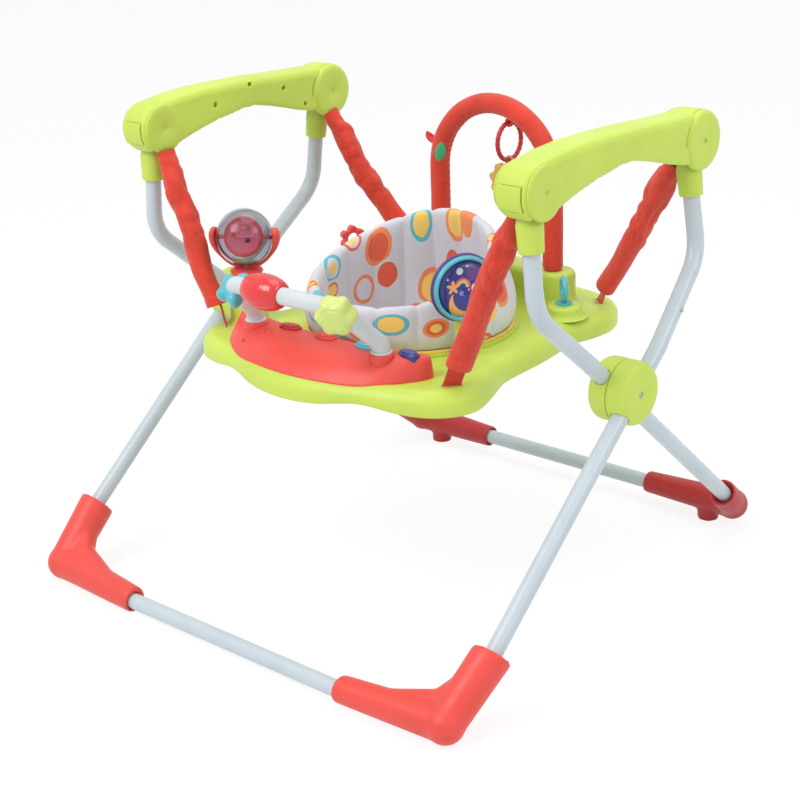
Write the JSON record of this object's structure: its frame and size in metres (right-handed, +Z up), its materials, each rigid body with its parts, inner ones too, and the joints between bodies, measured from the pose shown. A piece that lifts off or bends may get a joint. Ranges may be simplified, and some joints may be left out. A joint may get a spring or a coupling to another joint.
{
  "type": "baby jumper frame",
  "caption": "Folding cross-frame baby jumper: hinged tube legs, hook-latched hand rails and a spring-hung play tray with a swivel padded seat, toy arch, spinners and keys.",
  "frame": {"origin": "on the floor, under the middle of the footprint", "axes": "+X to the right rail as seen from behind the seat, +Y to the back, +Z up"},
  "size_m": [0.885, 0.8769, 0.7492],
  "materials": {
    "frame_tube": "satin paint",
    "lime_moulding": "fine grain",
    "coral_moulding": "fine grain",
    "steel": "zinc plated",
    "coral_fabric": "woven",
    "seat_fabric": "quilted",
    "white_moulding": "fine grain",
    "teal_moulding": "smooth",
    "navy_moulding": "smooth",
    "clear_moulding": "clear",
    "tan_moulding": "fine grain"
  },
  "bodies": {
    "hand_rails": {"arm_outer_shell_right": "lime_moulding", "arm_outer_shell_left": "lime_moulding", "arm_inner_shell_right": "lime_moulding", "arm_inner_shell_left": "lime_moulding", "arm_screws": "steel", "arm_pivot_pins": "steel", "spring_sleeve_front_right": "coral_fabric", "spring_sleeve_front_left": "coral_fabric", "spring_sleeve_rear_right": "coral_fabric", "spring_sleeve_rear_left": "coral_fabric", "bounce_springs": "steel", "spring_straps": "coral_fabric"},
    "front_frame": {"front_leg_right": "frame_tube", "front_leg_left": "frame_tube", "rear_upper_tube_right": "frame_tube", "rear_upper_tube_left": "frame_tube", "front_base_bar": "frame_tube", "front_foot_right": "coral_moulding", "front_foot_left": "coral_moulding", "rear_knuckle_right": "lime_moulding", "rear_knuckle_left": "lime_moulding", "hub_outer_shell_right": "lime_moulding", "hub_outer_shell_left": "lime_moulding", "hub_bolts": "steel", "snap_buttons": "steel"},
    "rear_frame": {"rear_leg_right": "frame_tube", "rear_leg_left": "frame_tube", "front_upper_tube_right": "frame_tube", "front_upper_tube_left": "frame_tube", "rear_base_bar": "frame_tube", "rear_foot_right": "coral_moulding", "rear_foot_left": "coral_moulding", "front_knuckle_right": "lime_moulding", "front_knuckle_left": "lime_moulding", "hub_inner_shell_right": "lime_moulding", "hub_inner_shell_left": "lime_moulding"},
    "tray": {"tray": "lime_moulding", "console_housing": "coral_moulding", "toy_bar": "white_moulding", "bar_star": "teal_moulding", "bar_flower": "lime_moulding", "toy_arch": "coral_fabric", "globe_stand": "coral_moulding", "disc_stand": "lime_moulding", "flower_toy": "coral_moulding", "ring_toy": "teal_moulding"},
    "seat": {"seat_ring": "white_moulding", "seat_pad": "seat_fabric"},
    "globe": {"globe_shell": "clear_moulding", "globe_core": "coral_moulding"},
    "bead": {"bar_bead": "coral_moulding"},
    "disc": {"spinner_disc": "navy_moulding"},
    "link": {"ring_link": "coral_moulding"},
    "toy": {"hanging_toy": "tan_moulding"},
    "key_red": {"key_red": "coral_moulding"},
    "key_coral": {"key_coral": "coral_moulding"},
    "key_teal": {"key_teal": "teal_moulding"},
    "key_navy": {"key_navy": "navy_moulding"},
    "button_right": {"release_button_right": "lime_moulding"},
    "button_left": {"release_button_left": "lime_moulding"}
  },
  "joints": [
    {"name": "rail_fold", "type": "hinge", "parent": "hand_rails", "child": "front_frame", "pos_m": [0, 0.1955, 0.7], "axis": [1, 0, 0], "range_deg": [0, 26]},
    {"name": "cross_fold", "type": "hinge", "parent": "front_frame", "child": "rear_frame", "pos_m": [0, 0.0075, 0.373], "axis": [-1, 0, 0], "range_deg": [0, 40]},
    {"name": "tray_bounce", "type": "slide", "parent": "hand_rails", "child": "tray", "axis": [0, 0, 1], "range_m": [-0.09, 0.04], "stiffness_N_per_m": 420, "springref_m": 0.08834, "deforming": ["spring_sleeve_front_right", "spring_sleeve_front_left", "spring_sleeve_rear_right", "spring_sleeve_rear_left", "bounce_springs", "spring_straps"]},
    {"name": "seat_swivel", "type": "hinge", "parent": "tray", "child": "seat", "pos_m": [0, -0.0005, 0.4], "axis": [0, 0, 1], "continuous": true},
    {"name": "globe_spin", "type": "hinge", "parent": "tray", "child": "globe", "pos_m": [-0.222, -0.1345, 0.535], "axis": [0.8561, 0.5168, 0], "continuous": true},
    {"name": "bead_spin", "type": "hinge", "parent": "tray", "child": "bead", "pos_m": [-0.038, -0.2725, 0.513], "axis": [1, 0, 0], "continuous": true},
    {"name": "disc_spin", "type": "hinge", "parent": "tray", "child": "disc", "pos_m": [0.178, -0.0835, 0.51], "axis": [0.9063, -0.4226, 0], "continuous": true},
    {"name": "link_swing", "type": "hinge", "parent": "tray", "child": "link", "pos_m": [0.03, 0.2145, 0.68242], "axis": [0, 1, 0], "range_deg": [-16, 16]},
    {"name": "toy_swing", "type": "hinge", "parent": "link", "child": "toy", "pos_m": [0.03, 0.2145, 0.62242], "axis": [0, 1, 0], "range_deg": [-14, 14]},
    {"name": "press_red", "type": "slide", "parent": "tray", "child": "key_red", "axis": [0, 0, -1], "range_m": [0, 0.0026], "stiffness_N_per_m": 300, "springref_m": -0.001},
    {"name": "press_coral", "type": "slide", "parent": "tray", "child": "key_coral", "axis": [0, 0, -1], "range_m": [0, 0.0026], "stiffness_N_per_m": 300, "springref_m": -0.001},
    {"name": "press_teal", "type": "slide", "parent": "tray", "child": "key_teal", "axis": [0, 0, -1], "range_m": [0, 0.0026], "stiffness_N_per_m": 300, "springref_m": -0.001},
    {"name": "press_navy", "type": "slide", "parent": "tray", "child": "key_navy", "axis": [0, 0, -1], "range_m": [0, 0.0026], "stiffness_N_per_m": 300, "springref_m": -0.001},
    {"name": "release_right", "type": "slide", "parent": "hand_rails", "child": "button_right", "axis": [0, 1, 0], "range_m": [0, 0.004], "stiffness_N_per_m": 400, "springref_m": -0.001},
    {"name": "release_left", "type": "slide", "parent": "hand_rails", "child": "button_left", "axis": [0, 1, 0], "range_m": [0, 0.004], "stiffness_N_per_m": 400, "springref_m": -0.001}
  ],
  "couplings": [
    {"joint": "rail_fold", "follows": "cross_fold", "ratio": 0.65}
  ]
}
